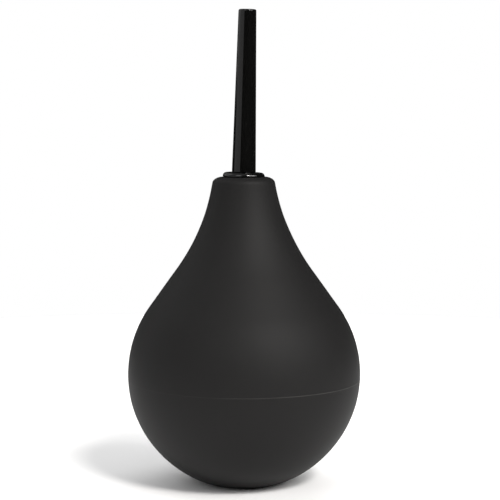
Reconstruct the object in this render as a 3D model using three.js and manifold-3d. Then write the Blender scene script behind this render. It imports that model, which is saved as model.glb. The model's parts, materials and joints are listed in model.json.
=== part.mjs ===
// Dust blower bulb: a soft pear-shaped squeeze bulb that stands on a small flat base, a barbed neck
// bush with a low collar, a tapered air nozzle that screws into it, and a check valve in the base.
// Millimetres, +Z up, origin at the centre of the flat base, on the surface that the bulb stands on.

import * as THREE from 'three';
import { mergeVertices } from 'three/addons/utils/BufferGeometryUtils.js';
import Module from 'manifold-3d';

const wasm = await Module();
wasm.setup();

// ---------------------------------------------------------------- driving dimensions

const BULB = {
  radius: 38, // widest radius, of the round lower part
  centreZ: 36, // height of the widest point
  wall: 2.6,
  coneAngle: 35.8, // degrees between the straight shoulder and the axis
  coneTopZ: 69.8, // where the straight shoulder turns into the hollow curve of the neck
  neckCurve: 69.8, // radius of that hollow curve
  neckAngle: 10, // degrees between the outline and the axis just under the neck's rim
  topZ: 100.9, // top of the neck
  rim: 2.2, // rounding of the neck's rim
  floorZ: 5.4, // inner floor above the base
  innerNeckAngle: 24, // where the cavity's hollow curve ends, in degrees from the axis
  innerNeckZ: 88.5, // where the cavity has closed in to the neck's bore
  neckBore: 4.9, // bore before the bush's barbs press their shape into it
};

const SEAM = { z: 34.5, height: 0.2, halfWidth: 0.35 }; // mould parting line round the bulb

const BASE = { recessRadius: 9.6, recessDepth: 1.6, holeRadius: 6.4 }; // seat of the valve in the base

const NECK_LEAN = THREE.MathUtils.degToRad(1.3); // the soft neck holds its fittings slightly off plumb
const FIT_GAP = 0.25; // left between the rubber and the pieces that it grips

const COLLAR = { radius: 6.85, bottomZ: 0.15, topZ: 1.45, edge: 1.15, lowerEdge: 0.12 };
const BARREL = { radius: 5.4, bottomZ: -15.5, tipRadius: 4.7 };
const BARB = { radius: 6.1, length: 2.1, edge: 0.1 };
const BARB_TOPS = [-12.2, -8.5, -4.8]; // heights of the three barbs' holding edges
const BUSH_BORE = { radius: 2, topZ: -9.9, shoulder: 0.4, threadRadius: 2.45 };
const SEAL = { pocketRadius: 3.7, pocketZ: 0.15, gap: 0.05, ringRadius: 2.95, cordRadius: 0.6 };

const THREAD = {
  pitch: 1.5,
  root: 2.25,
  crest: 2.75,
  rootWidth: 1.1,
  crestWidth: 0.4,
  topZ: -0.4,
  bottomZ: -7.4,
  sunk: 0.1, // how deep the ridge starts inside the core that it stands on
};
const THREAD_CLEARANCE = 0.15; // on each flank and at the crest of the bush's thread
const BUSH_THREAD = { topZ: 1, bottomZ: -9.3 };

const NOZZLE = {
  footZ: 1.5, // underside of the shoulder, just above the collar
  footRadius: 3.9,
  footEdge: 0.35,
  tipZ: 54.3,
  tipRadius: 2.9,
  tipEdge: 0.5,
  bore: 1.4,
  mouthWidth: 0.25, // chamfer of the bore at the tip
  mouthDepth: 0.3,
  spigotEndZ: -8.2,
  spigotChamfer: 0.5,
};

const VALVE = {
  bottomZ: 0.4, // the flange stays clear of the surface that the bulb stands on
  lead: 0.3, // small lead-in slopes on the flange and the lip
  seatSlope: 0.15,
  flangeRadius: 9.2,
  flangeTopZ: 1.5,
  barrelRadius: 6.15,
  lipZ: 5.6, // underside of the lip that holds the valve in the rubber
  lipRadius: 7.3,
  lipTopZ: 7,
  topZ: 8.6,
  chamberRadius: 5.3,
  chamberFloorZ: 3.3,
  seatTopZ: 3.8,
  seatOuter: 4.1,
  throatRadius: 3.4,
  screenRadius: 4.9,
  screenTopZ: 1.3,
};

const DISC = { radius: 4.7, bottomZ: 3.85, thickness: 0.8 };

const CAGE = {
  flangeRadius: 6,
  flangeBottomZ: 8.65,
  flangeTopZ: 9.3,
  sleeveRadius: 5.15,
  sleeveBottomZ: 6.2,
  bore: 4.2,
  barWidth: 1.3,
  barHeight: 0.8,
  barSunk: 0.2, // how far a bar's ends reach into the sleeve
  bars: 3,
};

const SCREEN = { radius: 4.75, bottomZ: 0.5, thickness: 0.7, holeRadius: 0.4, holePitch: 1.45, rings: 2 };

const CUTTER = { innerRadius: 1, reach: 4 }; // how far the room for the bush is cut past its ends

const FINE = 44; // segments round the bulb
const MEDIUM = 28; // segments round the fittings
const COARSE = 24; // segments round the room for the bush, inside the neck
const HOLE_SIDES = 8;
const THREAD_STEPS = 16; // steps in each turn of a thread

// ---------------------------------------------------------------- helpers

const point = (r, z) => new THREE.Vector2(r, z);
const radians = THREE.MathUtils.degToRad;

// Points on an arc, from one angle to another in degrees, both ends included.
function arc(centreR, centreZ, radius, from, to, steps) {
  const points = [];
  for (let i = 0; i <= steps; i += 1) {
    const angle = radians(from + ((to - from) * i) / steps);
    points.push(point(centreR + radius * Math.cos(angle), centreZ + radius * Math.sin(angle)));
  }
  return points;
}

// Turns an outline of (radius, height) round the Z axis. The outline runs up the outside and down
// the inside, and closes on itself.
function turned(outline, segments) {
  return new THREE.LatheGeometry([...outline, outline[0]], segments).rotateX(Math.PI / 2);
}

// Extrudes a flat shape upwards from the height given.
function plate(shape, bottomZ, thickness) {
  const settings = { depth: thickness, bevelEnabled: false };
  return new THREE.ExtrudeGeometry(shape, settings).translate(0, 0, bottomZ);
}

// The corners of a round disc or hole.
const circle = (x, y, radius, sides) => arc(x, y, radius, 0, 360, sides).slice(0, -1);

// A closed geometry as a solid that can be joined to or cut from another.
function solid(geometry) {
  const bare = geometry.clone();
  bare.deleteAttribute('normal');
  bare.deleteAttribute('uv');
  const merged = mergeVertices(bare, 1e-5);
  const mesh = new wasm.Mesh({
    numProp: 3,
    vertProperties: new Float32Array(merged.attributes.position.array),
    triVerts: new Uint32Array(merged.index.array),
  });
  return new wasm.Manifold(mesh);
}

// A solid back as a geometry.
function geometryOf(body) {
  const { vertProperties, triVerts } = body.getMesh();
  const geometry = new THREE.BufferGeometry();
  geometry.setAttribute('position', new THREE.BufferAttribute(new Float32Array(vertProperties), 3));
  geometry.setIndex(new THREE.BufferAttribute(new Uint32Array(triVerts), 1));
  geometry.computeVertexNormals();
  return geometry;
}

function named(name, geometry, material) {
  const mesh = new THREE.Mesh(geometry, material);
  mesh.name = name;
  return mesh;
}

const plastic = (color, roughness) => new THREE.MeshStandardMaterial({ color, roughness, metalness: 0 });

// ---------------------------------------------------------------- screw thread

// A right-hand helix whose frames stay radial and axial, so that a swept profile doesn't twist.
class ThreadPath extends THREE.Curve {
  constructor(radius, pitch, bottomZ, topZ) {
    super();
    this.radius = radius;
    this.bottomZ = bottomZ;
    this.rise = topZ - bottomZ;
    this.turn = (2 * Math.PI * this.rise) / pitch;
    // The phase depends on height alone, so the two threads are in mesh.
    this.start = (2 * Math.PI * bottomZ) / pitch;
  }

  getPoint(t, target = new THREE.Vector3()) {
    const angle = this.start + this.turn * t;
    return target.set(
      this.radius * Math.cos(angle),
      this.radius * Math.sin(angle),
      this.bottomZ + this.rise * t,
    );
  }

  computeFrenetFrames(segments) {
    const frames = { tangents: [], normals: [], binormals: [] };
    for (let i = 0; i <= segments; i += 1) {
      const angle = this.start + (this.turn * i) / segments;
      frames.tangents.push(new THREE.Vector3(-Math.sin(angle), Math.cos(angle), 0));
      frames.normals.push(new THREE.Vector3(Math.cos(angle), Math.sin(angle), 0));
      frames.binormals.push(new THREE.Vector3(0, 0, -1));
    }
    return frames;
  }
}

// One thread ridge between two heights, thicker all over by the clearance.
function threadRidge(bottomZ, topZ, clearance) {
  const { pitch, root, crest, rootWidth, crestWidth, sunk } = THREAD;
  const outer = crest - root + clearance;
  const halfRoot = rootWidth / 2 + clearance;
  const halfCrest = crestWidth / 2 + clearance;
  const profile = new THREE.Shape([
    point(-sunk, -halfRoot),
    point(outer, -halfCrest),
    point(outer, halfCrest),
    point(-sunk, halfRoot),
  ]);
  const path = new ThreadPath(root, pitch, bottomZ, topZ);
  const steps = Math.ceil(((topZ - bottomZ) / pitch) * THREAD_STEPS);
  path.arcLengthDivisions = steps;
  return new THREE.ExtrudeGeometry(profile, { steps, extrudePath: path, bevelEnabled: false });
}

// ---------------------------------------------------------------- bulb

// The bulb's outline from the round lower part up to the neck, moved inwards by the inset: an arc,
// the straight shoulder and the hollow curve. It starts where the arc has the height given.
function pearOutline(inset, fromZ, neckAngle, stepsBelow, stepsAbove, stepsNeck) {
  const { radius, centreZ, coneAngle, coneTopZ, neckCurve } = BULB;
  const round = radius - inset;
  const start = THREE.MathUtils.radToDeg(Math.asin((fromZ - centreZ) / round));
  const cone = radians(coneAngle);
  const coneFootR = radius * Math.cos(cone);
  const coneFootZ = centreZ + radius * Math.sin(cone);
  const coneTopR = coneFootR - (coneTopZ - coneFootZ) * Math.tan(cone);
  const curveR = coneTopR + neckCurve * Math.cos(cone);
  const curveZ = coneTopZ + neckCurve * Math.sin(cone);
  const seamAngle = THREE.MathUtils.radToDeg(Math.asin((SEAM.z - centreZ) / round));
  return {
    below: arc(0, centreZ, round, start, seamAngle, stepsBelow),
    above: arc(0, centreZ, round, seamAngle, coneAngle, stepsAbove),
    neck: arc(curveR, curveZ, neckCurve + inset, 180 + coneAngle, 180 + neckAngle, stepsNeck),
  };
}

// The parting line stands proud of the widest part as a low ridge.
function seamRidge() {
  const { z, height, halfWidth } = SEAM;
  const radiusAt = (at) => Math.sqrt(BULB.radius ** 2 - (at - BULB.centreZ) ** 2);
  return [
    point(radiusAt(z - halfWidth), z - halfWidth),
    point(radiusAt(z) + height, z),
    point(radiusAt(z + halfWidth), z + halfWidth),
  ];
}

function neckRim() {
  const { topZ, rim, neckAngle } = BULB;
  const outline = pearOutline(0, 0, neckAngle, 1, 1, 1).neck;
  const end = outline[outline.length - 1];
  const centreZ = topZ - rim;
  const rimStartZ = centreZ + rim * Math.sin(radians(neckAngle));
  const rimStartR = end.x - (rimStartZ - end.y) * Math.tan(radians(neckAngle));
  const centreR = rimStartR - rim * Math.cos(radians(neckAngle));
  return arc(centreR, centreZ, rim, neckAngle, 90, 4);
}

function makeBulb() {
  const outer = pearOutline(0, 0, BULB.neckAngle, 9, 10, 9);
  const inner = pearOutline(BULB.wall, BULB.floorZ, BULB.innerNeckAngle, 6, 7, 5);
  const cavity = [...inner.below, ...inner.above.slice(1), ...inner.neck].reverse();
  const outline = [
    point(BASE.recessRadius, BASE.recessDepth),
    point(BASE.recessRadius, 0),
    ...outer.below.slice(0, -1),
    ...seamRidge(),
    ...outer.above.slice(1),
    ...outer.neck,
    ...neckRim(),
    point(BULB.neckBore, BULB.topZ),
    point(BULB.neckBore, BULB.innerNeckZ),
    ...cavity,
    point(BASE.holeRadius, BULB.floorZ),
    point(BASE.holeRadius, BASE.recessDepth),
  ];
  const shell = solid(turned(outline, FINE));
  return geometryOf(shell.subtract(bushRoom()));
}

// The room that the bush takes in the rubber neck, in the bulb's frame. It is a ring, because the
// neck is bored through already.
function bushRoom() {
  const bottomZ = BARREL.bottomZ - CUTTER.reach;
  const outline = [
    point(CUTTER.innerRadius, bottomZ),
    point(BARREL.radius + FIT_GAP, bottomZ),
    ...barbs(FIT_GAP),
    point(BARREL.radius + FIT_GAP, COLLAR.bottomZ - FIT_GAP),
    point(COLLAR.radius + FIT_GAP, COLLAR.bottomZ - FIT_GAP),
    point(COLLAR.radius + FIT_GAP, CUTTER.reach),
    point(CUTTER.innerRadius, CUTTER.reach),
  ];
  return solid(turned(outline, COARSE).rotateY(NECK_LEAN).translate(0, 0, BULB.topZ));
}

// ---------------------------------------------------------------- neck fittings
// They are modelled about their own axis, with z = 0 at the top of the neck.

// The barbs' outline going up, moved outwards by the gap: a slope, then a holding edge that faces up.
function barbs(gap) {
  return BARB_TOPS.flatMap((top) => [
    point(BARREL.radius + gap, top - BARB.length - gap),
    point(BARB.radius + gap, top),
    point(BARB.radius + gap, top + gap),
    point(BARREL.radius + gap, top + BARB.edge + gap),
  ]);
}

function makeNeckBush() {
  const { radius, bottomZ, topZ, edge, lowerEdge } = COLLAR;
  const outline = [
    point(BUSH_BORE.radius, BARREL.bottomZ),
    point(BARREL.tipRadius, BARREL.bottomZ),
    ...barbs(0).filter((p, i, all) => i === 0 || p.distanceTo(all[i - 1]) > 0),
    point(BARREL.radius, bottomZ),
    point(radius - lowerEdge, bottomZ),
    point(radius, bottomZ + lowerEdge),
    ...arc(radius - edge, topZ - edge, edge, 0, 90, 4),
    point(SEAL.pocketRadius, topZ),
    point(SEAL.pocketRadius, SEAL.pocketZ),
    point(BUSH_BORE.threadRadius, SEAL.pocketZ),
    point(BUSH_BORE.threadRadius, BUSH_BORE.topZ + BUSH_BORE.shoulder),
    point(BUSH_BORE.radius, BUSH_BORE.topZ),
  ];
  const blank = solid(turned(outline, MEDIUM));
  const groove = solid(threadRidge(BUSH_THREAD.bottomZ, BUSH_THREAD.topZ, THREAD_CLEARANCE));
  return geometryOf(blank.subtract(groove));
}

function makeNozzle() {
  const { footZ, footRadius, footEdge, tipZ, tipRadius, tipEdge, bore } = NOZZLE;
  const { mouthWidth, mouthDepth, spigotEndZ, spigotChamfer } = NOZZLE;
  const outline = [
    point(bore, spigotEndZ),
    point(THREAD.root - spigotChamfer, spigotEndZ),
    point(THREAD.root, spigotEndZ + spigotChamfer),
    point(THREAD.root, footZ),
    ...arc(footRadius - footEdge, footZ + footEdge, footEdge, -90, 0, 3),
    ...arc(tipRadius - tipEdge, tipZ - tipEdge, tipEdge, 0, 90, 4),
    point(bore + mouthWidth, tipZ),
    point(bore, tipZ - mouthDepth),
  ];
  const tube = solid(turned(outline, MEDIUM));
  return geometryOf(tube.add(solid(threadRidge(THREAD.bottomZ, THREAD.topZ, 0))));
}

function makeNozzleSeal() {
  const ring = new THREE.TorusGeometry(SEAL.ringRadius, SEAL.cordRadius, HOLE_SIDES, MEDIUM);
  return ring.translate(0, 0, SEAL.pocketZ + SEAL.gap + SEAL.cordRadius);
}

// ---------------------------------------------------------------- intake valve in the base

function makeValveBody() {
  const v = VALVE;
  return turned(
    [
      point(v.screenRadius, v.bottomZ),
      point(v.flangeRadius - v.lead, v.bottomZ),
      point(v.flangeRadius, v.bottomZ + v.lead),
      point(v.flangeRadius, v.flangeTopZ),
      point(v.barrelRadius, v.flangeTopZ),
      point(v.barrelRadius, v.lipZ),
      point(v.lipRadius, v.lipZ),
      point(v.lipRadius, v.lipZ + v.lead),
      point(v.barrelRadius, v.lipTopZ),
      point(v.barrelRadius, v.topZ),
      point(v.chamberRadius, v.topZ),
      point(v.chamberRadius, v.chamberFloorZ),
      point(v.seatOuter, v.chamberFloorZ),
      point(v.seatOuter - v.seatSlope, v.seatTopZ),
      point(v.throatRadius, v.seatTopZ),
      point(v.throatRadius, v.screenTopZ),
      point(v.screenRadius, v.screenTopZ),
    ],
    MEDIUM,
  );
}

function makeValveDisc() {
  return plate(new THREE.Shape(circle(0, 0, DISC.radius, MEDIUM)), DISC.bottomZ, DISC.thickness);
}

// A snap-in sleeve with bars across it, which stop the disc from lifting too far.
function makeValveCage() {
  const c = CAGE;
  const sleeve = turned(
    [
      point(c.bore, c.sleeveBottomZ),
      point(c.sleeveRadius, c.sleeveBottomZ),
      point(c.sleeveRadius, c.flangeBottomZ),
      point(c.flangeRadius, c.flangeBottomZ),
      point(c.flangeRadius, c.flangeTopZ),
      point(c.bore, c.flangeTopZ),
    ],
    MEDIUM,
  );
  let cage = solid(sleeve);
  for (let i = 0; i < c.bars; i += 1) {
    const bar = new THREE.BoxGeometry(2 * (c.bore + c.barSunk), c.barWidth, c.barHeight);
    bar.rotateZ((Math.PI * i) / c.bars).translate(0, 0, c.sleeveBottomZ + c.barHeight / 2);
    cage = cage.add(solid(bar));
  }
  return geometryOf(cage);
}

// A thin disc with rings of round holes, six more in each ring.
function makeIntakeScreen() {
  const disc = new THREE.Shape(circle(0, 0, SCREEN.radius, MEDIUM));
  const drill = (x, y) => disc.holes.push(new THREE.Path(circle(x, y, SCREEN.holeRadius, HOLE_SIDES)));
  drill(0, 0);
  for (let ring = 1; ring <= SCREEN.rings; ring += 1) {
    const count = 6 * ring;
    for (let i = 0; i < count; i += 1) {
      const angle = (2 * Math.PI * i) / count;
      drill(ring * SCREEN.holePitch * Math.cos(angle), ring * SCREEN.holePitch * Math.sin(angle));
    }
  }
  return plate(disc, SCREEN.bottomZ, SCREEN.thickness);
}

// ---------------------------------------------------------------- assembly

const softBlack = plastic('#2b2c2d', 0.72);
const glossBlack = plastic('#0d0e0d', 0.16);
const sealBlack = plastic('#161616', 0.5);
const valveBlack = plastic('#1b1c1d', 0.35);
const siliconeRed = plastic('#7a2320', 0.55);
const steelGrey = new THREE.MeshStandardMaterial({ color: '#9a9c9d', roughness: 0.35, metalness: 1 });

const neckFittings = new THREE.Group();
neckFittings.position.set(0, 0, BULB.topZ);
neckFittings.rotation.y = NECK_LEAN;
neckFittings.add(
  named('neck_bush', makeNeckBush(), glossBlack),
  named('nozzle_seal', makeNozzleSeal(), sealBlack),
  named('nozzle', makeNozzle(), glossBlack),
);

const intakeValve = new THREE.Group();
intakeValve.add(
  named('valve_body', makeValveBody(), valveBlack),
  named('valve_disc', makeValveDisc(), siliconeRed),
  named('valve_cage', makeValveCage(), valveBlack),
  named('intake_screen', makeIntakeScreen(), steelGrey),
);

const blower = new THREE.Group();
blower.add(named('bulb', makeBulb(), softBlack), neckFittings, intakeValve);

export default blower;
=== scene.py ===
"""Dust blower bulb: a soft squeeze bulb with a screw-in nozzle and a check valve in its base."""

import json
import logging
import math
from dataclasses import dataclass, field
from enum import Enum
from typing import Any, Iterable

import bpy
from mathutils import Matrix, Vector, noise


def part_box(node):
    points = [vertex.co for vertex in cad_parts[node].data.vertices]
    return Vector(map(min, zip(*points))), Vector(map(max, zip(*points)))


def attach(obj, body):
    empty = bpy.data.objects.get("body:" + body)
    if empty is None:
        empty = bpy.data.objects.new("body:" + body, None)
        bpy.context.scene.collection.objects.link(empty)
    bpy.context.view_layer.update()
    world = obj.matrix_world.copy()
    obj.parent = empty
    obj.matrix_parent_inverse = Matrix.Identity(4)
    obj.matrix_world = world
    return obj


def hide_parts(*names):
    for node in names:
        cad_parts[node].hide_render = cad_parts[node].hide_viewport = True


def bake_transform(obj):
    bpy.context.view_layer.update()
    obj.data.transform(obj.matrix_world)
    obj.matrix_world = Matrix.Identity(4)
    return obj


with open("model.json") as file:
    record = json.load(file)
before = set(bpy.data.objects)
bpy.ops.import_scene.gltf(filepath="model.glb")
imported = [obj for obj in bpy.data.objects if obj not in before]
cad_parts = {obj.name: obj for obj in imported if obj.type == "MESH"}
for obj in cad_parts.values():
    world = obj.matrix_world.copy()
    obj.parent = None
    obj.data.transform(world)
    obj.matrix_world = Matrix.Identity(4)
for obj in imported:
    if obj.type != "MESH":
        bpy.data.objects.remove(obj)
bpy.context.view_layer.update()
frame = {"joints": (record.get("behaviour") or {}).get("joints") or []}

MM = 0.001
LOG = logging.getLogger("dust_blower")


# ---------------------------------------------------------------- shared helpers


class Slot(Enum):
    """The record's material slots that the pieces take their finish from."""

    SOFT_RUBBER = "soft_rubber"
    HARD_PLASTIC = "hard_plastic"
    SEAL_RUBBER = "seal_rubber"
    VALVE_PLASTIC = "valve_plastic"
    VALVE_SILICONE = "valve_silicone"
    SCREEN_STEEL = "screen_steel"


class Body(Enum):
    """The moving bodies of the frame."""

    BASE = "base"
    NECK = "neck"
    SEAL_RING = "seal_ring"
    NOZZLE_TUBE = "nozzle_tube"
    VALVE_FLAP = "valve_flap"


def linear(code: str) -> tuple[float, float, float, float]:
    """Turns an sRGB hex colour into the linear values that a shader takes.

    Args:
        code: six hex digits after a hash.

    Returns:
        Red, green, blue and an alpha of one.
    """
    values = [int(code[i : i + 2], 16) / 255 for i in (1, 3, 5)]
    curved = [v / 12.92 if v <= 0.04045 else ((v + 0.055) / 1.055) ** 2.4 for v in values]
    return (*curved, 1.0)


def add_node(
    tree: bpy.types.NodeTree, kind: str, inputs: dict[Any, Any] | None = None, **settings: Any
) -> bpy.types.Node:
    """Adds a node with its settings and links.

    Args:
        tree: the node tree to add to.
        kind: the node's type name.
        inputs: socket name or number to a plain value or to the socket that feeds it.
        **settings: the node's own properties.

    Returns:
        The new node.
    """
    made = tree.nodes.new(kind)
    for key, value in settings.items():
        setattr(made, key, value)
    for key, value in (inputs or {}).items():
        if isinstance(value, bpy.types.NodeSocket):
            tree.links.new(value, made.inputs[key])
        else:
            made.inputs[key].default_value = value
    return made


# ---------------------------------------------------------------- finishes


@dataclass(frozen=True)
class Finish:
    """A material that is made from nodes once and shared by the pieces that have it."""

    name: str
    slot: Slot

    def material(self) -> bpy.types.Material:
        """Gives the finish's material, made on its first use.

        Returns:
            The one material that every piece with this finish shares.
        """
        made = bpy.data.materials.get(self.name)
        if made is None:
            made = bpy.data.materials.new(self.name)
            made.use_nodes = True
            made.node_tree.nodes.clear()
            shader = self.shade(made.node_tree)
            add_node(made.node_tree, "ShaderNodeOutputMaterial", {"Surface": shader.outputs[0]})
        return made

    def shade(self, tree: bpy.types.NodeTree) -> bpy.types.Node:
        """Builds the finish's nodes and returns its shader."""
        raise NotImplementedError

    def dress(self, piece: bpy.types.Object) -> None:
        """Puts the finish on a piece.

        Args:
            piece: the mesh object to dress.
        """
        piece.data.materials.clear()
        piece.data.materials.append(self.material())


@dataclass(frozen=True)
class SoftMouldedRubber(Finish):
    """Soft black rubber out of a lightly blasted mould: a dry charcoal surface that scatters light."""

    name: str = "soft_moulded_rubber"
    slot: Slot = Slot.SOFT_RUBBER
    dark: str = "#151515"
    pale: str = "#191818"
    # Light grey of the dust flecks, and of the painted highlight along the parting line.
    dust_and_seam_highlight: str = "#4a4947"
    mottle_mm: float = 14.0
    grain_mm: float = 0.55
    fleck_spacing_mm: float = 5.0

    def shade(self, tree: bpy.types.NodeTree) -> bpy.types.Node:
        """Mottled charcoal with a fine grain, a few dust flecks and a parting line painted lighter as a
        highlight, brightest towards the key light.

        Args:
            tree: node tree of the material.

        Returns:
            The shader node that the output is linked to.
        """
        rest = add_node(tree, "ShaderNodeAttribute", attribute_name="rest_place").outputs["Vector"]
        # Mask of the painted highlight along the parting line, brightest towards the key light.
        seam = add_node(tree, "ShaderNodeAttribute", attribute_name="painted_seam_glint").outputs["Fac"]
        mottle = add_node(
            tree,
            "ShaderNodeTexNoise",
            {"Vector": rest, "Scale": 1 / (self.mottle_mm * MM), "Detail": 5.0, "Roughness": 0.6},
        )
        grain = add_node(
            tree,
            "ShaderNodeTexNoise",
            {"Vector": rest, "Scale": 1 / (self.grain_mm * MM), "Detail": 3.0, "Roughness": 0.7},
        )
        flecks = add_node(
            tree,
            "ShaderNodeTexVoronoi",
            {"Vector": rest, "Scale": 1 / (self.fleck_spacing_mm * MM)},
        )
        spread = add_node(
            tree,
            "ShaderNodeMapRange",
            {"Value": mottle.outputs["Fac"], "From Min": 0.35, "From Max": 0.65},
        )
        body = add_node(
            tree,
            "ShaderNodeMix",
            {0: spread.outputs[0], 6: linear(self.dark), 7: linear(self.pale)},
            data_type="RGBA",
        )
        fleck = add_node(
            tree,
            "ShaderNodeMapRange",
            {"Value": flecks.outputs["Distance"], "From Min": 0.035, "From Max": 0.02, "To Max": 0.35},
        )
        # Painted highlight of the parting line, broken up by the grain.
        line = add_node(
            tree,
            "ShaderNodeMath",
            {0: seam, 1: grain.outputs["Fac"]},
            operation="MULTIPLY",
        )
        # Dust flecks together with the painted parting-line highlight.
        marks = add_node(
            tree, "ShaderNodeMath", {0: fleck.outputs[0], 1: line.outputs[0]}, operation="MAXIMUM"
        )
        colour = add_node(
            tree,
            "ShaderNodeMix",
            {0: marks.outputs[0], 6: body.outputs[2], 7: linear(self.dust_and_seam_highlight)},
            data_type="RGBA",
        )
        dryness = add_node(
            tree,
            "ShaderNodeMapRange",
            {"Value": mottle.outputs["Fac"], "To Min": 0.54, "To Max": 0.68},
        )
        bump = add_node(
            tree,
            "ShaderNodeBump",
            {"Height": grain.outputs["Fac"], "Strength": 0.35, "Distance": 0.03 * MM},
        )
        return add_node(
            tree,
            "ShaderNodeBsdfPrincipled",
            {
                "Base Color": colour.outputs[2],
                "Roughness": dryness.outputs[0],
                "IOR": 1.5,
                "Specular IOR Level": 0.18,
                "Normal": bump.outputs[0],
            },
        )


@dataclass(frozen=True)
class GlossyMouldedPlastic(Finish):
    """Black ABS from a polished mould: near black, with a sharp gloss and faint flow marks."""

    name: str = "glossy_moulded_abs"
    slot: Slot = Slot.HARD_PLASTIC
    base: str = "#060606"
    cloud: str = "#0b0b0a"
    flow_mm: float = 3.0
    dust_spacing_mm: float = 2.6

    def shade(self, tree: bpy.types.NodeTree) -> bpy.types.Node:
        """Gloss black whose roughness drifts slowly, stretched along the flow of the plastic.

        Args:
            tree: node tree of the material.

        Returns:
            The shader node that the output is linked to.
        """
        place = add_node(tree, "ShaderNodeTexCoord").outputs["Object"]
        along = add_node(
            tree, "ShaderNodeMapping", {"Vector": place, "Scale": (1.0, 1.0, 0.12)}
        ).outputs[0]
        flow = add_node(
            tree,
            "ShaderNodeTexNoise",
            {"Vector": along, "Scale": 1 / (self.flow_mm * MM), "Detail": 3.0},
        )
        dust = add_node(
            tree,
            "ShaderNodeTexVoronoi",
            {"Vector": place, "Scale": 1 / (self.dust_spacing_mm * MM)},
        )
        speck = add_node(
            tree,
            "ShaderNodeMapRange",
            {"Value": dust.outputs["Distance"], "From Min": 0.05, "From Max": 0.03, "To Max": 0.3},
        )
        colour = add_node(
            tree,
            "ShaderNodeMix",
            {0: flow.outputs["Fac"], 6: linear(self.base), 7: linear(self.cloud)},
            data_type="RGBA",
        )
        dusty = add_node(
            tree,
            "ShaderNodeMix",
            {0: speck.outputs[0], 6: colour.outputs[2], 7: linear("#5c5b57")},
            data_type="RGBA",
        )
        gloss = add_node(
            tree,
            "ShaderNodeMapRange",
            {"Value": flow.outputs["Fac"], "To Min": 0.05, "To Max": 0.13},
        )
        bump = add_node(
            tree,
            "ShaderNodeBump",
            {"Height": flow.outputs["Fac"], "Strength": 0.25, "Distance": 0.02 * MM},
        )
        return add_node(
            tree,
            "ShaderNodeBsdfPrincipled",
            {
                "Base Color": dusty.outputs[2],
                "Roughness": gloss.outputs[0],
                "IOR": 1.53,
                "Normal": bump.outputs[0],
            },
        )


@dataclass(frozen=True)
class PlainMoulding(Finish):
    """A moulded or cut small part of one colour, with a fine grain in its surface."""

    base: str = "#161616"
    roughness: float = 0.4
    metallic: float = 0.0
    ior: float = 1.5
    grain_mm: float = 0.3
    grain_depth_mm: float = 0.01

    def shade(self, tree: bpy.types.NodeTree) -> bpy.types.Node:
        """One colour, with grain in its gloss and relief.

        Args:
            tree: node tree of the material.

        Returns:
            The shader node that the output is linked to.
        """
        place = add_node(tree, "ShaderNodeTexCoord").outputs["Object"]
        grain = add_node(
            tree,
            "ShaderNodeTexNoise",
            {"Vector": place, "Scale": 1 / (self.grain_mm * MM), "Detail": 3.0},
        )
        gloss = add_node(
            tree,
            "ShaderNodeMapRange",
            {
                "Value": grain.outputs["Fac"],
                "To Min": self.roughness - 0.06,
                "To Max": self.roughness + 0.08,
            },
        )
        tone = add_node(
            tree,
            "ShaderNodeMapRange",
            {"Value": grain.outputs["Fac"], "To Min": 0.8, "To Max": 1.25},
        )
        colour = add_node(
            tree,
            "ShaderNodeMix",
            {0: 1.0, 6: linear(self.base), 7: tone.outputs[0]},
            data_type="RGBA",
            blend_type="MULTIPLY",
        )
        bump = add_node(
            tree,
            "ShaderNodeBump",
            {"Height": grain.outputs["Fac"], "Strength": 0.3, "Distance": self.grain_depth_mm * MM},
        )
        return add_node(
            tree,
            "ShaderNodeBsdfPrincipled",
            {
                "Base Color": colour.outputs[2],
                "Roughness": gloss.outputs[0],
                "Metallic": self.metallic,
                "IOR": self.ior,
                "Normal": bump.outputs[0],
            },
        )


BULB_RUBBER = SoftMouldedRubber()
NOZZLE_ABS = GlossyMouldedPlastic()
# Nitrile O-ring cord: black with a satin skin from its mould.
NITRILE = PlainMoulding("nitrile_cord", Slot.SEAL_RUBBER, base="#141414", roughness=0.45)
# Acetal housing: satin black, a little waxy.
ACETAL = PlainMoulding("satin_acetal", Slot.VALVE_PLASTIC, base="#1c1d1e", roughness=0.36, ior=1.48)
# Silicone disc: oxide red, dull and slightly dusty.
SILICONE = PlainMoulding("red_silicone", Slot.VALVE_SILICONE, base="#7c2a22", roughness=0.5, ior=1.41)
# Punched stainless sheet, tumbled after punching: bright with a soft haze.
STAINLESS = PlainMoulding(
    "tumbled_stainless", Slot.SCREEN_STEEL, base="#b9bab8", roughness=0.32, metallic=1.0
)


# ---------------------------------------------------------------- modelling at the bench


@dataclass(frozen=True)
class Ring:
    """One ring of a turned shape, in metres."""

    radius: float
    height: float


def arc_rings(
    centre_r: float, centre_z: float, radius: float, start: float, end: float, steps: int
) -> list[Ring]:
    """Rings along an arc of the outline, both ends included.

    Args:
        centre_r: distance of the arc's centre from the axis.
        centre_z: height of the arc's centre.
        radius: the arc's radius.
        start: first angle in degrees, 0 outwards and 90 up.
        end: last angle in degrees.
        steps: number of spans.

    Returns:
        The rings in order.
    """
    angles = (math.radians(start + (end - start) * i / steps) for i in range(steps + 1))
    return [Ring(centre_r + radius * math.cos(a), centre_z + radius * math.sin(a)) for a in angles]


def straight_rings(first: Ring, last: Ring, steps: int) -> list[Ring]:
    """Rings evenly spaced between two others, both ends left out.

    Args:
        first: ring that the stretch starts from.
        last: ring that the stretch runs to.
        steps: number of equal spans between the two.

    Returns:
        The rings in between, in order.
    """
    return [
        Ring(
            first.radius + (last.radius - first.radius) * i / steps,
            first.height + (last.height - first.height) * i / steps,
        )
        for i in range(1, steps)
    ]


def nothing_selected() -> None:
    """Deselects every object, and leaves edit mode if it is on."""
    if bpy.context.object and bpy.context.object.mode != "OBJECT":
        bpy.ops.object.mode_set(mode="OBJECT")
    bpy.ops.object.select_all(action="DESELECT")


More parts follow.
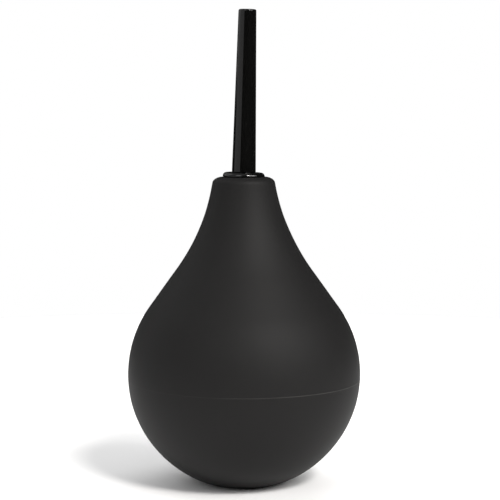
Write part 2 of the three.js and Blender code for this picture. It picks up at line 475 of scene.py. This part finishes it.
def pick(piece: bpy.types.Object) -> None:
    """Makes one object the only selected and the active one.

    Args:
        piece: the object that the next operator works on.
    """
    nothing_selected()
    piece.select_set(True)
    bpy.context.view_layer.objects.active = piece


def turned(name: str, rings: Iterable[Ring], sides: int, solid: bool = False) -> bpy.types.Object:
    """Turns a shape round the Z axis by extruding and scaling a circle from ring to ring.

    Args:
        name: the piece's name.
        rings: the outline, up the outside first.
        sides: number of sides of each ring.
        solid: True for a shape with flat ends, False for a shell whose last ring meets its first.

    Returns:
        The new mesh object.
    """
    path = list(rings)
    nothing_selected()
    first = path[0]
    bpy.ops.mesh.primitive_circle_add(
        vertices=sides,
        radius=first.radius,
        location=(0, 0, first.height),
        fill_type="NGON" if solid else "NOTHING",
    )
    piece = bpy.context.object
    piece.name = piece.data.name = name
    bpy.ops.object.transform_apply(location=True, rotation=True, scale=True)
    bpy.ops.object.mode_set(mode="EDIT")
    bpy.ops.mesh.select_all(action="SELECT")
    loop = path[1:] if solid else [*path[1:], first]
    last = first
    for ring in loop:
        bpy.ops.mesh.extrude_region_move(
            TRANSFORM_OT_translate={"value": (0, 0, ring.height - last.height)}
        )
        grow = ring.radius / last.radius
        bpy.ops.transform.resize(value=(grow, grow, 1), center_override=(0, 0, ring.height))
        last = ring
    bpy.ops.mesh.select_all(action="SELECT")
    bpy.ops.mesh.remove_doubles(threshold=1e-7)
    bpy.ops.mesh.normals_make_consistent(inside=False)
    bpy.ops.object.mode_set(mode="OBJECT")
    bpy.ops.object.shade_smooth_by_angle(angle=math.radians(35))
    return piece


def apply_modifier(piece: bpy.types.Object, kind: str, **settings: Any) -> None:
    """Adds a modifier to a piece and applies it.

    Args:
        piece: the mesh object.
        kind: the modifier's type.
        **settings: the modifier's own properties.
    """
    pick(piece)
    modifier = piece.modifiers.new(kind.lower(), kind)
    for key, value in settings.items():
        setattr(modifier, key, value)
    bpy.ops.object.modifier_apply(modifier=modifier.name)


def joined(name: str, parts: list[bpy.types.Object]) -> bpy.types.Object:
    """Joins several mesh objects into the first one, under a new name.

    Args:
        name: name of the joined object.
        parts: objects to join, the one that stays first.

    Returns:
        The joined object.
    """
    nothing_selected()
    for part in parts:
        part.select_set(True)
    bpy.context.view_layer.objects.active = parts[0]
    bpy.ops.object.join()
    parts[0].name = parts[0].data.name = name
    return parts[0]


def cut_or_add(piece: bpy.types.Object, tool: bpy.types.Object, operation: str) -> None:
    """Cuts a tool shape from a piece or adds it to the piece, and removes the tool."""
    apply_modifier(piece, "BOOLEAN", object=tool, operation=operation, solver="EXACT")
    bpy.data.objects.remove(tool, do_unlink=True)


@dataclass(frozen=True)
class Thread:
    """A right-hand screw thread, in millimetres."""

    pitch: float = 1.5
    root: float = 2.25
    crest: float = 2.75
    root_width: float = 1.1
    crest_width: float = 0.4
    steps: int = 48
    fade: int = 14

    def ridge(self, name: str, bottom: float, top: float) -> bpy.types.Object:
        """Sweeps the thread's section up a helix and fades its two ends into the core.

        Args:
            name: the new object's name.
            bottom: height of the lower end in mm.
            top: height of the upper end in mm.

        Returns:
            The ridge, closed, about the Z axis.
        """
        turns = (top - bottom) / self.pitch
        nothing_selected()
        bpy.ops.mesh.primitive_plane_add(size=1, rotation=(math.pi / 2, 0, 0))
        ridge = bpy.context.object
        ridge.name = ridge.data.name = name
        inner = self.root - 0.1
        ridge.scale = ((self.crest - inner) * MM, self.root_width * MM, 1)
        phase = 2 * math.pi * bottom / self.pitch
        ridge.location = ((self.crest + inner) / 2 * MM, 0, bottom * MM)
        bpy.ops.object.transform_apply(location=True, rotation=True, scale=True)
        taper = self.crest_width / self.root_width
        for corner in ridge.data.vertices:
            if corner.co.x > self.root * MM:
                corner.co.z = bottom * MM + (corner.co.z - bottom * MM) * taper
        apply_modifier(
            ridge,
            "SCREW",
            angle=2 * math.pi * turns,
            screw_offset=self.pitch * turns * MM,
            steps=round(self.steps * turns),
            render_steps=round(self.steps * turns),
            use_merge_vertices=False,
            use_smooth_shade=True,
        )
        self.fade_ends(ridge, round(self.steps * turns))
        ridge.rotation_euler = (0, 0, phase)
        pick(ridge)
        bpy.ops.object.transform_apply(location=True, rotation=True, scale=True)
        bpy.ops.object.mode_set(mode="EDIT")
        bpy.ops.mesh.select_all(action="SELECT")
        bpy.ops.mesh.fill_holes(sides=4)
        bpy.ops.mesh.normals_make_consistent(inside=False)
        bpy.ops.object.mode_set(mode="OBJECT")
        return ridge

    def fade_ends(self, ridge: bpy.types.Object, steps: int) -> None:
        """Lowers the crest towards the root over the first and last steps.

        Args:
            ridge: the thread's mesh.
            steps: number of steps along the thread.
        """
        section = 4
        for vertex in ridge.data.vertices:
            step = vertex.index // section
            height = min(step, steps - step) / self.fade
            across = Vector((vertex.co.x, vertex.co.y))
            if height < 1 and across.length > self.root * MM:
                lowered = (self.root - 0.05 + (self.crest - self.root + 0.05) * height) * MM
                vertex.co.x *= lowered / across.length
                vertex.co.y *= lowered / across.length


# ---------------------------------------------------------------- bulb


@dataclass
class Bulb:
    """The soft squeeze bulb, with its parting line, its neck and the seat of the valve, in mm."""

    centre_z: float = 36.0
    wall: float = 2.6
    cone_angle: float = 35.8
    cone_top: float = 69.8
    neck_curve: float = 69.8
    neck_angle: float = 10.0
    rim: float = 2.2
    rim_width: float = 3.2
    floor: float = 5.4
    inner_neck_angle: float = 24.0
    bore: float = 6.1
    collar_seat: float = 6.95
    collar_seat_depth: float = 0.18
    bore_foot: float = 88.5
    foot_edge: float = 0.8
    recess_radius: float = 9.6
    recess_depth: float = 1.6
    hole_radius: float = 6.4
    seam_z: float = 34.5
    seam_height: float = 0.07
    seam_half: float = 0.22
    # Angle of fullest flash, and of the brightest painted highlight on the parting line, on the key
    # light's side.
    flash_and_glint_side: float = -25.0
    waviness: float = 0.1
    bulge: float = 0.26
    bulge_lean: float = 0.1
    sides: int = 160
    radius: float = field(init=False)
    top: float = field(init=False)

    def __post_init__(self) -> None:
        """Takes the widest radius and the height from the frame."""
        low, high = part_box("bulb")
        self.radius = round((high.x - low.x) / 2 / MM - 0.17, 1)
        self.top = high.z / MM

    def outline(
        self, inset: float, from_z: float, end_angle: float, steps: tuple[int, int, int]
    ) -> tuple[list[Ring], list[Ring], list[Ring]]:
        """The pear's outline moved inwards: the round part below and above the seam, and the neck.

        Args:
            inset: distance inwards in mm.
            from_z: height of the first ring in mm.
            end_angle: angle between outline and axis at the last ring, in degrees.
            steps: number of spans below the seam, above it and in the neck.

        Returns:
            The three stretches, each a list of rings in mm.
        """
        ball = self.radius - inset
        cone = math.radians(self.cone_angle)
        foot_r = self.radius * math.cos(cone)
        foot_z = self.centre_z + self.radius * math.sin(cone)
        top_r = foot_r - (self.cone_top - foot_z) * math.tan(cone)
        curve_r = top_r + self.neck_curve * math.cos(cone)
        curve_z = self.cone_top + self.neck_curve * math.sin(cone)
        start = math.degrees(math.asin((from_z - self.centre_z) / ball))
        seam = math.degrees(math.asin((self.seam_z - self.centre_z) / ball))
        bend = self.neck_curve + inset
        below = arc_rings(0, self.centre_z, ball, start, seam, steps[0])
        above = arc_rings(0, self.centre_z, ball, seam, self.cone_angle, steps[1])
        neck = arc_rings(curve_r, curve_z, bend, 180 + self.cone_angle, 180 + end_angle, steps[2])
        shoulder = straight_rings(above[-1], neck[0], 12)
        return below, above, [*shoulder, *neck]

    def seam_rings(self) -> list[Ring]:
        """The low ridge of flash round the parting line.

        Returns:
            The rings of the ridge from below it to above it, in mm.
        """
        offsets = (-1.0, -0.6, -0.25, 0.0, 0.25, 0.6, 1.0)
        rises = (0.0, 0.12, 0.8, 1.0, 0.8, 0.12, 0.0)
        rings = []
        for offset, rise in zip(offsets, rises):
            z = self.seam_z + offset * self.seam_half
            ball = math.sqrt(self.radius**2 - (z - self.centre_z) ** 2)
            rings.append(Ring(ball + rise * self.seam_height, z))
        return rings

    def rim_rings(self, end: Ring) -> list[Ring]:
        """The rounded rim of the neck, on from the outline's last ring.

        Args:
            end: last ring of the outline under the rim, in mm.

        Returns:
            The rings over the rim to its flat top, in mm.
        """
        slope = math.tan(math.radians(self.neck_angle))
        first = math.atan(slope * self.rim / self.rim_width)
        centre_z = self.top - self.rim
        start_z = centre_z + self.rim * math.sin(first)
        start_r = end.radius - (start_z - end.height) * slope
        centre_r = start_r - self.rim_width * math.cos(first)
        round_off = arc_rings(0, 0, 1, math.degrees(first), 90, 16)
        return [
            Ring(centre_r + self.rim_width * r.radius, centre_z + self.rim * r.height) for r in round_off
        ]

    def rings(self) -> list[Ring]:
        """The whole closed outline, up the outside and down the cavity, in mm.

        Returns:
            The rings in order round the section of the wall.
        """
        below, above, neck = self.outline(0, 0, self.neck_angle, (44, 44, 44))
        gap = 3 * self.seam_half
        lower = [r for r in below if self.foot_edge < r.height < self.seam_z - gap]
        upper = [r for r in above if r.height > self.seam_z + gap]
        inner = self.outline(self.wall, self.floor, self.inner_neck_angle, (20, 20, 16))
        cavity = [*inner[0], *inner[1][1:], *inner[2]][::-1]
        foot = Ring(below[0].radius - 0.5, 0)
        return [
            Ring(self.hole_radius, self.recess_depth),
            Ring(self.recess_radius - 0.2, self.recess_depth),
            Ring(self.recess_radius, self.recess_depth - 0.2),
            Ring(self.recess_radius, 0.25),
            Ring(self.recess_radius + 0.25, 0),
            foot,
            Ring(below[0].radius + 0.12, 0.14),
            *lower,
            *self.seam_rings(),
            *upper,
            *neck,
            *self.rim_rings(neck[-1])[1:],
            Ring(self.collar_seat, self.top),
            Ring(self.collar_seat - 0.05, self.top - self.collar_seat_depth),
            Ring(self.bore + 0.3, self.top - self.collar_seat_depth),
            Ring(self.bore, self.top - self.collar_seat_depth - 0.3),
            Ring(self.bore, self.bore_foot),
            Ring(self.bore + 1.5, self.bore_foot - 1.3),
            *cavity,
            Ring(self.hole_radius, self.floor),
        ]

    def build(self) -> bpy.types.Object:
        """Models the bulb, gives its surface the drift of a soft moulding, and dresses it.

        Returns:
            The finished piece.
        """
        rings = [Ring(r.radius * MM, r.height * MM) for r in self.rings()]
        bulb = turned("bulb_skin", rings, self.sides)
        self.mark_surface(bulb)
        self.soften(bulb)
        BULB_RUBBER.dress(bulb)
        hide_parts("bulb")
        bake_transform(bulb)
        return bulb

    def mark_surface(self, bulb: bpy.types.Object) -> None:
        """Stores each point's place at rest, trims the flash on the parting line, and stores the painted
        highlight along it.

        Args:
            bulb: the bulb, before its skin is softened.
        """
        place = bulb.data.attributes.new("rest_place", "FLOAT_VECTOR", "POINT")
        # Painted highlight along the parting line, stored per point for the rubber's colour.
        line = bulb.data.attributes.new("painted_seam_glint", "FLOAT", "POINT")
        for vertex in bulb.data.vertices:
            co = vertex.co
            place.data[vertex.index].vector = co
            off = abs(co.z / MM - self.seam_z) / self.seam_half
            outside = math.hypot(co.x, co.y) > (self.radius - self.wall / 2) * MM
            if off > 1 or not outside:
                continue
            strength = self.flash_and_glint_at(co)
            line.data[vertex.index].value = (1.0 - off) * strength
            ball = math.sqrt(self.radius**2 - (co.z / MM - self.centre_z) ** 2) * MM
            across = math.hypot(co.x, co.y)
            trimmed = (ball + (across - ball) * strength) / across
            co.x *= trimmed
            co.y *= trimmed

    def flash_and_glint_at(self, place: Vector) -> float:
        """How much flash is left at a place on the parting line, from 0 to 1, and how bright its painted
        highlight is.

        Args:
            place: a point on the parting line, in metres.

        Returns:
            The share of the full flash that is left there, and of the painted highlight's brightness.
        """
        angle = math.atan2(place.y, place.x)
        side = 0.5 + 0.5 * math.cos(angle - math.radians(self.flash_and_glint_side))
        rough = noise.noise(Vector((math.cos(angle), math.sin(angle), 0)) * 6)
        return min(1.0, max(0.12, side**2 * (0.85 + 0.6 * rough)))

    def soften(self, bulb: bpy.types.Object) -> None:
        """Lets the skin bulge and drift by a few tenths of a millimetre, as a soft moulding does.

        Args:
            bulb: the bulb, with its surface marked.
        """
        for vertex in bulb.data.vertices:
            height = vertex.co.z / MM
            hold = min(1.0, max(0.0, (height - 6) / 20), max(0.0, (self.top - 4 - height) / 15))
            if hold <= 0:
                continue
            drift = noise.noise(vertex.co / (28 * MM)) + 0.4 * noise.noise(vertex.co / (9 * MM))
            out = Vector((vertex.co.x, vertex.co.y, 0)).normalized()
            swell = self.bulge * min(1.0, max(0.0, (self.top - 12 - height) / 20))
            vertex.co += out * (drift * self.waviness + swell) * hold * MM
            vertex.co.x += self.bulge_lean * hold * MM


# ---------------------------------------------------------------- neck fittings


@dataclass
class NeckFittings:
    """The bush in the neck, its seal and the nozzle, about their own leaning axis, in mm."""

    collar_radius: float = 6.85
    collar_top: float = 1.45
    collar_edge: float = 1.15
    barrel: float = 5.4
    barb: float = 5.72
    barb_tops: tuple[float, ...] = (-12.2, -8.5, -4.8)
    barb_length: float = 2.1
    bush_foot: float = -15.5
    nozzle_foot: float = 1.5
    foot_radius: float = 3.9
    tip_z: float = 54.3
    tip_radius: float = 2.9
    nozzle_bore: float = 1.4
    spigot_end: float = -8.2
    thread: Thread = field(default_factory=Thread)
    sides: int = 96
    base: Vector = field(init=False)
    lean: float = field(init=False)

    def __post_init__(self) -> None:
        """Takes the neck's height from the frame, and the lean from the nozzle's own joint."""
        screw = next(j for j in frame["joints"] if j["name"] == "nozzle_unscrew")
        self.base = Vector(screw["pos_m"])
        self.lean = math.atan2(screw["axis"][0], screw["axis"][2])

    def place(self, piece: bpy.types.Object) -> None:
        """Tilts a piece to the fittings' axis and lifts it onto the neck.

        Args:
            piece: a piece modelled upright about the fittings' own axis.
        """
        piece.location = self.base
        piece.rotation_euler = (0, self.lean, 0)
        pick(piece)
        bpy.ops.object.transform_apply(location=True, rotation=True, scale=True)

    def turned_mm(self, name: str, outline: Iterable[Ring]) -> bpy.types.Object:
        """Turns an outline given in mm."""
        return turned(name, [Ring(r.radius * MM, r.height * MM) for r in outline], self.sides)

    def bush(self) -> bpy.types.Object:
        """The bush: a round-edged collar, a barbed barrel and a bore that clears the nozzle's thread.

        Returns:
            The finished piece.
        """
        barbs = []
        for top in self.barb_tops:
            barbs += [
                Ring(self.barrel, top - self.barb_length),
                Ring(self.barb, top - 0.05),
                Ring(self.barb, top),
                Ring(self.barrel, top + 0.1),
            ]
        edge = self.collar_edge
        centre_r, centre_z = self.collar_radius - edge, self.collar_top - edge
        outline = [
            Ring(2.0, self.bush_foot + 0.2),
            Ring(2.2, self.bush_foot),
            Ring(4.7, self.bush_foot),
            *barbs,
            Ring(self.barrel, 0.0),
            Ring(self.collar_radius - 0.25, 0.0),
            Ring(self.collar_radius - 0.08, 0.06),
            Ring(self.collar_radius - 0.01, 0.2),
            *arc_rings(centre_r, centre_z, edge, 0, 90, 20),
            Ring(3.9, self.collar_top),
            Ring(3.72, self.collar_top - 0.06),
            Ring(3.68, self.collar_top - 0.2),
            Ring(3.68, 0.15),
            Ring(2.95, 0.15),
            Ring(2.9, 0.05),
            Ring(2.9, -9.5),
            Ring(2.0, -9.95),
        ]
        bush = self.turned_mm("neck_collar", outline)
        self.place(bush)
        NOZZLE_ABS.dress(bush)
        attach(bush, Body.NECK.value)
        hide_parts("neck_bush")
        return bush

    def seal(self) -> bpy.types.Object:
        """The O-ring, with the faint flash line that its mould leaves round it.

        Returns:
            The finished piece.
        """
        cord, ring, height = 0.6, 2.95, 0.8
        round_cord = arc_rings(ring, height, cord, -90, 264, 59)
        outline = [
            Ring(r.radius + (0.03 if abs(r.height - height) < 0.02 and r.radius > ring else 0), r.height)
            for r in round_cord
        ]
        seal = self.turned_mm("seal_cord", outline)
        self.place(seal)
        NITRILE.dress(seal)
        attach(seal, Body.SEAL_RING.value)
        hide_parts("nozzle_seal")
        return seal

    def nozzle(self) -> bpy.types.Object:
        """The tapered tube, with its rounded tip, its shoulder and the threaded spigot.

        Returns:
            The finished piece.
        """
        foot_edge, tip_edge = 0.25, 0.55
        outline = [
            Ring(self.nozzle_bore + 0.15, self.spigot_end),
            Ring(self.thread.root - 0.45, self.spigot_end),
            Ring(self.thread.root, self.spigot_end + 0.5),
            Ring(self.thread.root, self.nozzle_foot - 0.15),
            Ring(self.thread.root + 0.15, self.nozzle_foot),
            *arc_rings(self.foot_radius - foot_edge, self.nozzle_foot + foot_edge, foot_edge, -90, 0, 10),
            *straight_rings(
                Ring(self.foot_radius, self.nozzle_foot + foot_edge),
                Ring(self.tip_radius, self.tip_z - tip_edge),
                24,
            ),
            *arc_rings(self.tip_radius - tip_edge, self.tip_z - tip_edge, tip_edge, 0, 90, 12),
            Ring(self.nozzle_bore + 0.35, self.tip_z),
            Ring(self.nozzle_bore + 0.1, self.tip_z - 0.1),
            Ring(self.nozzle_bore, self.tip_z - 0.35),
            Ring(self.nozzle_bore, self.spigot_end + 0.15),
        ]
        tube = self.turned_mm("nozzle_tube", outline)
        ridge = self.thread.ridge("nozzle_thread", -7.4, -0.4)
        nozzle = joined("nozzle_moulding", [tube, ridge])
        self.place(nozzle)
        NOZZLE_ABS.dress(nozzle)
        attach(nozzle, Body.NOZZLE_TUBE.value)
        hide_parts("nozzle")
        return nozzle

    def build(self) -> list[bpy.types.Object]:
        """Makes the three fittings."""
        return [self.bush(), self.seal(), self.nozzle()]


# ---------------------------------------------------------------- intake valve


@dataclass
class IntakeValve:
    """The check valve in the base: a housing, a disc on its seat, a cage and a screen, in mm."""

    flange: float = 9.2
    flange_low: float = 0.4
    flange_high: float = 1.5
    barrel: float = 6.15
    lip: float = 7.3
    lip_low: float = 5.6
    lip_high: float = 7.0
    top: float = 8.6
    chamber: float = 5.3
    chamber_floor: float = 3.3
    seat_top: float = 3.8
    seat: float = 4.1
    throat: float = 3.4
    screen_room: float = 4.9
    screen_roof: float = 1.3
    disc: float = 4.7
    disc_low: float = 3.85
    disc_high: float = 4.65
    screen: float = 4.75
    screen_low: float = 0.5
    screen_high: float = 1.2
    hole: float = 0.4
    hole_pitch: float = 1.45
    hole_rings: int = 2
    sides: int = 96

    def turned_mm(self, name: str, outline: Iterable[Ring]) -> bpy.types.Object:
        """Turns an outline given in mm."""
        return turned(name, [Ring(r.radius * MM, r.height * MM) for r in outline], self.sides)

    def finish_piece(
        self, piece: bpy.types.Object, finish: Finish, node: str, body: Body
    ) -> bpy.types.Object:
        """Dresses a piece and ties it to the body and the node that it stands for.

        Args:
            piece: the modelled piece.
            finish: the finish that it wears.
            node: CAD node that it replaces.
            body: moving body that it rides on.

        Returns:
            The same piece.
        """
        finish.dress(piece)
        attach(piece, body.value)
        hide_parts(node)
        return piece

    def grips(self) -> bpy.types.Object:
        """Six blocks that cut the finger notches into the flange's edge.

        Returns:
            The blocks as one object.
        """
        blocks = []
        for i in range(6):
            angle = math.radians(60 * i + 30)
            nothing_selected()
            bpy.ops.mesh.primitive_cube_add(
                size=MM,
                location=(self.flange * math.cos(angle) * MM, self.flange * math.sin(angle) * MM, 0),
                rotation=(0, 0, angle),
                scale=(0.9, 1.5, 1.7),
            )
            block = bpy.context.object
            bpy.ops.object.transform_apply(location=True, rotation=True, scale=True)
            blocks.append(block)
        return joined("grip_cutter", blocks)

    def housing(self) -> bpy.types.Object:
        """The moulded housing, with a lip that snaps behind the rubber and a raised seat.

        Returns:
            The finished piece.
        """
        edge = 0.3
        outline = [
            Ring(self.screen_room + 0.15, self.flange_low),
            *arc_rings(self.flange - edge, self.flange_low + edge, edge, -90, 0, 6),
            *arc_rings(self.flange - edge / 2, self.flange_high - edge / 2, edge / 2, 0, 90, 4),
            Ring(self.barrel + 0.15, self.flange_high),
            Ring(self.barrel, self.flange_high + 0.15),
            Ring(self.barrel, self.lip_low - 0.1),
            Ring(self.barrel + 0.1, self.lip_low),
            Ring(self.lip - 0.1, self.lip_low),
            Ring(self.lip, self.lip_low + 0.1),
            Ring(self.lip, self.lip_low + 0.3),
            Ring(self.barrel, self.lip_high),
            *arc_rings(self.barrel - 0.2, self.top - 0.2, 0.2, 0, 90, 5),
            Ring(self.chamber + 0.15, self.top),
            Ring(self.chamber, self.top - 0.15),
            Ring(self.chamber, self.chamber_floor + 0.1),
            Ring(self.chamber - 0.1, self.chamber_floor),
            Ring(self.seat, self.chamber_floor),
            Ring(self.seat - 0.15, self.seat_top - 0.08),
            Ring(self.seat - 0.25, self.seat_top),
            Ring(self.throat + 0.1, self.seat_top),
            Ring(self.throat, self.seat_top - 0.1),
            Ring(self.throat, self.screen_roof),
            Ring(self.screen_room, self.screen_roof),
            Ring(self.screen_room, self.flange_low + 0.15),
        ]
        housing = self.turned_mm("valve_housing", outline)
        cut_or_add(housing, self.grips(), "DIFFERENCE")
        return self.finish_piece(housing, ACETAL, "valve_body", Body.BASE)

    def flap(self) -> bpy.types.Object:
        """The silicone disc, with rounded edges and the nib that its mould leaves in the middle.

        Returns:
            The finished piece.
        """
        half = (self.disc_high - self.disc_low) / 2
        middle = (self.disc_high + self.disc_low) / 2
        outline = [
            Ring(0.02, self.disc_low),
            Ring(1.2, self.disc_low),
            *arc_rings(self.disc - half, middle, half, -90, 90, 12),
            Ring(0.9, self.disc_high),
            Ring(0.75, self.disc_high + 0.03),
            Ring(0.6, self.disc_high + 0.08),
            Ring(0.45, self.disc_high + 0.1),
            Ring(0.02, self.disc_high + 0.1),
        ]
        flap = self.turned_mm("valve_flap_disc", outline)
        return self.finish_piece(flap, SILICONE, "valve_disc", Body.VALVE_FLAP)

    def cage(self) -> bpy.types.Object:
        """The snap-in sleeve, whose three bars stop the disc.

        Returns:
            The finished piece.
        """
        bore, sleeve, low, high = 4.2, 5.15, 6.2, 9.3
        outline = [
            Ring(bore + 0.1, low),
            Ring(sleeve - 0.2, low),
            Ring(sleeve, low + 0.25),
            Ring(sleeve, 8.65),
            Ring(5.85, 8.65),
            *arc_rings(5.8, 8.85, 0.2, -90, 0, 4),
            *arc_rings(5.75, high - 0.25, 0.25, 0, 90, 5),
            Ring(bore + 0.2, high),
            Ring(bore, high - 0.2),
            Ring(bore, low + 0.1),
        ]
        cage = self.turned_mm("valve_retainer", outline)
        for i in range(3):
            nothing_selected()
            bpy.ops.mesh.primitive_cube_add(
                size=MM,
                location=(0, 0, (low + 0.4) * MM),
                rotation=(0, 0, math.radians(60 * i)),
                scale=(2 * bore + 0.5, 1.3, 0.76),
            )
            bar = bpy.context.object
            bpy.ops.object.transform_apply(location=True, rotation=True, scale=True)
            apply_modifier(bar, "BEVEL", width=0.15 * MM, segments=3, limit_method="ANGLE")
            cut_or_add(cage, bar, "UNION")
        return self.finish_piece(cage, ACETAL, "valve_cage", Body.BASE)

    def drills(self) -> bpy.types.Object:
        """The punches of the screen's holes: one in the middle and six more in each ring.

        Returns:
            The punches as one object.
        """
        places = [(0.0, 0.0)]
        for ring in range(1, self.hole_rings + 1):
            for i in range(6 * ring):
                angle = 2 * math.pi * i / (6 * ring)
                reach = ring * self.hole_pitch
                places.append((reach * math.cos(angle), reach * math.sin(angle)))
        punches = []
        for x, y in places:
            nothing_selected()
            bpy.ops.mesh.primitive_cylinder_add(
                vertices=24,
                radius=self.hole * MM,
                depth=2 * MM,
                location=(x * MM, y * MM, self.screen_low * MM),
            )
            punches.append(bpy.context.object)
        return joined("screen_punches", punches)

    def strainer(self) -> bpy.types.Object:
        """The punched steel disc, slightly rolled over at its edge.

        Returns:
            The finished piece.
        """
        edge = 0.12
        outline = [
            Ring(0.0001, self.screen_low),
            *arc_rings(self.screen - edge, self.screen_low + edge, edge, -90, 0, 4),
            *arc_rings(self.screen - edge, self.screen_high - edge, edge, 0, 90, 4),
            Ring(0.0001, self.screen_high),
        ]
        disc = self.turned_mm("intake_strainer", outline)
        cut_or_add(disc, self.drills(), "DIFFERENCE")
        return self.finish_piece(disc, STAINLESS, "intake_screen", Body.BASE)

    def build(self) -> list[bpy.types.Object]:
        """Makes the valve's four pieces."""
        return [self.housing(), self.flap(), self.cage(), self.strainer()]


# ---------------------------------------------------------------- studio


@dataclass(frozen=True)
class SoftLamp:
    """A round soft light far away, with its angles in degrees."""

    name: str
    azimuth: float  # from the camera's side, positive to the right
    elevation: float
    spread: float
    strength: float
    tint: tuple[float, float, float] = (1.0, 1.0, 1.0)
    mirrored: bool = True  # False keeps it out of reflections

    def hang(self) -> None:
        """Adds the light to the scene, out of the camera's sight."""
        turn, tilt = math.radians(self.azimuth), math.radians(self.elevation)
        towards = Vector(
            (math.cos(tilt) * math.sin(turn), -math.cos(tilt) * math.cos(turn), math.sin(tilt))
        )
        data = bpy.data.lights.new(self.name, "SUN")
        data.energy, data.angle, data.color = self.strength, math.radians(self.spread), self.tint
        light = bpy.data.objects.new(self.name, data)
        light.rotation_euler = towards.to_track_quat("Z", "Y").to_euler()
        light.visible_camera, light.visible_glossy = False, self.mirrored
        bpy.context.scene.collection.objects.link(light)


@dataclass
class Studio:
    """The pale floor, the soft lights and the camera, in metres."""

    camera_distance: float = 0.550
    camera_height: float = 0.1287
    aim: tuple[float, float, float] = (0.00205, 0.0, 0.0769)
    lens: float = 121.3
    floor_radius: float = 0.42
    panel_place: tuple[float, float, float] = (-0.95, -0.30, 0.16)
    panel_size: tuple[float, float] = (1.35, 0.46)
    panel_power: float = 0.95
    lamps: tuple[SoftLamp, ...] = (
        SoftLamp("key_core", 30, 44, 13, 2.05, (1.0, 0.975, 0.95)),
        SoftLamp("key_box", 50, 36, 34, 1.5, (1.0, 0.98, 0.96)),
        SoftLamp("left_front", -30, 32, 30, 0.4),
        SoftLamp("right_front", 70, 30, 24, 0.4),
        SoftLamp("right_back", 118, 58, 80, 0.55, mirrored=False),
        SoftLamp("back", 188, 52, 70, 1.5, mirrored=False),
        SoftLamp("left_back", -120, 30, 56, 0.4),
        SoftLamp("left_top", -60, 56, 80, 0.5),
    )

    def floor(self) -> None:
        """A plain pale sheet under the object."""
        nothing_selected()
        bpy.ops.mesh.primitive_circle_add(vertices=96, radius=self.floor_radius, fill_type="NGON")
        sheet = bpy.context.object
        sheet.name = "floor"
        pale = bpy.data.materials.new("pale_floor")
        pale.use_nodes = True
        shader = pale.node_tree.nodes["Principled BSDF"]
        shader.inputs["Base Color"].default_value = (0.93, 0.93, 0.93, 1)
        shader.inputs["Roughness"].default_value = 0.9
        shader.inputs["Specular IOR Level"].default_value = 0.0
        sheet.data.materials.append(pale)

    def world(self) -> None:
        """White behind the object, and hardly any light from the world itself."""
        world = bpy.data.worlds.new("studio")
        world.use_nodes = True
        tree = world.node_tree
        tree.nodes.clear()
        dim = add_node(tree, "ShaderNodeBackground", {"Color": (1, 1, 1, 1), "Strength": 0.02})
        white = add_node(tree, "ShaderNodeBackground", {"Color": (1, 1, 1, 1), "Strength": 1.0})
        seen = add_node(tree, "ShaderNodeLightPath").outputs["Is Camera Ray"]
        both = add_node(tree, "ShaderNodeMixShader", {0: seen, 1: dim.outputs[0], 2: white.outputs[0]})
        add_node(tree, "ShaderNodeOutputWorld", {"Surface": both.outputs[0]})
        bpy.context.scene.world = world

    def lights(self) -> None:
        """Hangs every lamp of the studio."""
        for lamp in self.lamps:
            lamp.hang()
        data = bpy.data.lights.new("left_panel", "AREA")
        data.shape, data.energy = "RECTANGLE", self.panel_power
        data.size, data.size_y = self.panel_size
        panel = bpy.data.objects.new("left_panel", data)
        panel.location = self.panel_place
        towards = Vector((0, 0, self.panel_place[2])) - panel.location
        panel.rotation_euler = towards.to_track_quat("-Z", "Y").to_euler()
        panel.visible_camera = False
        bpy.context.scene.collection.objects.link(panel)

    def camera(self) -> None:
        """The camera, a little above the bulb and close enough for its base to be seen from above."""
        data = bpy.data.cameras.new("camera")
        data.lens = self.lens
        data.sensor_width = 36.0
        data.clip_start, data.clip_end = 0.01, 20.0
        camera = bpy.data.objects.new("camera", data)
        camera.location = (0, -self.camera_distance, self.camera_height)
        look = Vector(self.aim) - camera.location
        camera.rotation_euler = look.to_track_quat("-Z", "Y").to_euler()
        bpy.context.scene.collection.objects.link(camera)
        bpy.context.scene.camera = camera

    def build(self) -> None:
        """Sets up the whole studio."""
        self.floor()
        self.world()
        self.lights()
        self.camera()
        bpy.context.scene.view_settings.view_transform = "Standard"


def main() -> None:
    """Builds the studio and every sub-assembly."""
    logging.basicConfig(level=logging.INFO, format="%(message)s")
    Studio().build()
    pieces = [Bulb().build(), *NeckFittings().build(), *IntakeValve().build()]
    for piece in pieces:
        LOG.info("%s: %d faces", piece.name, len(piece.data.polygons))


if __name__ == "__main__":
    main()
